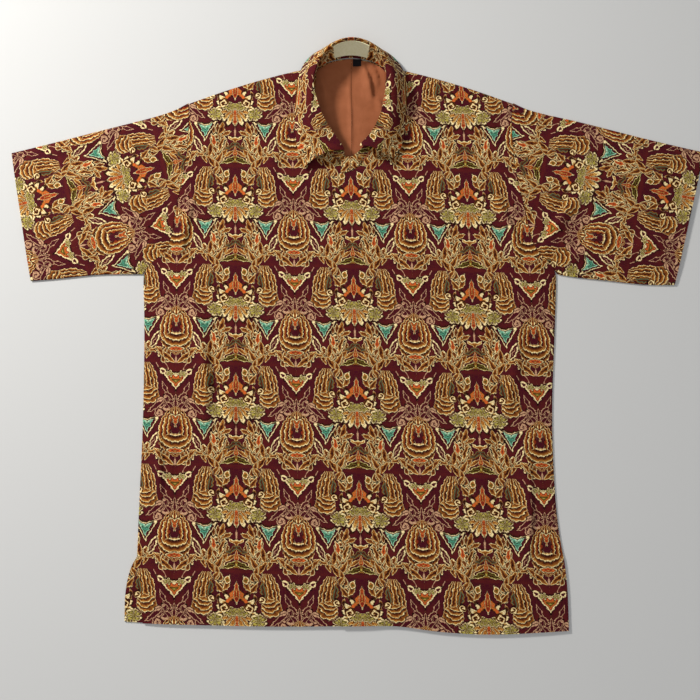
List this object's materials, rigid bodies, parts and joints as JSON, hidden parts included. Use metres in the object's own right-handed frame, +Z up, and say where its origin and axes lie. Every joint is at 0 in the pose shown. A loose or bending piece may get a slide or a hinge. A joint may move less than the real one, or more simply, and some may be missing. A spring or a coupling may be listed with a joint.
{
  "type": "batik shirt",
  "caption": "Short-sleeved collared shirt in printed batik cotton with a plain lining, laid flat and face up with its collar standing round the open neck.",
  "frame": {"origin": "under the middle of the shirt's box, on the surface that the back lies on", "axes": "+X across the shirt towards the wearer's left, +Y from the hem to the collar, +Z up from the surface"},
  "size_m": [0.9934, 0.8374, 0.036],
  "materials": {
    "printed_cotton": "fine plain-weave cotton, printed batik, matt",
    "lining": "smooth terracotta lining, slight sheen",
    "label": "woven satin label, bare",
    "tab": "black woven tape, bare"
  },
  "bodies": {
    "root": {"back": "printed_cotton", "front_right": "printed_cotton", "front_left": "printed_cotton", "sleeve_right": "printed_cotton", "sleeve_left": "printed_cotton", "collar_stand": "printed_cotton", "collar_leaf": "printed_cotton", "lining_right": "lining", "lining_left": "lining", "neck_label": "label", "size_tab": "tab"}
  },
  "joints": []
}
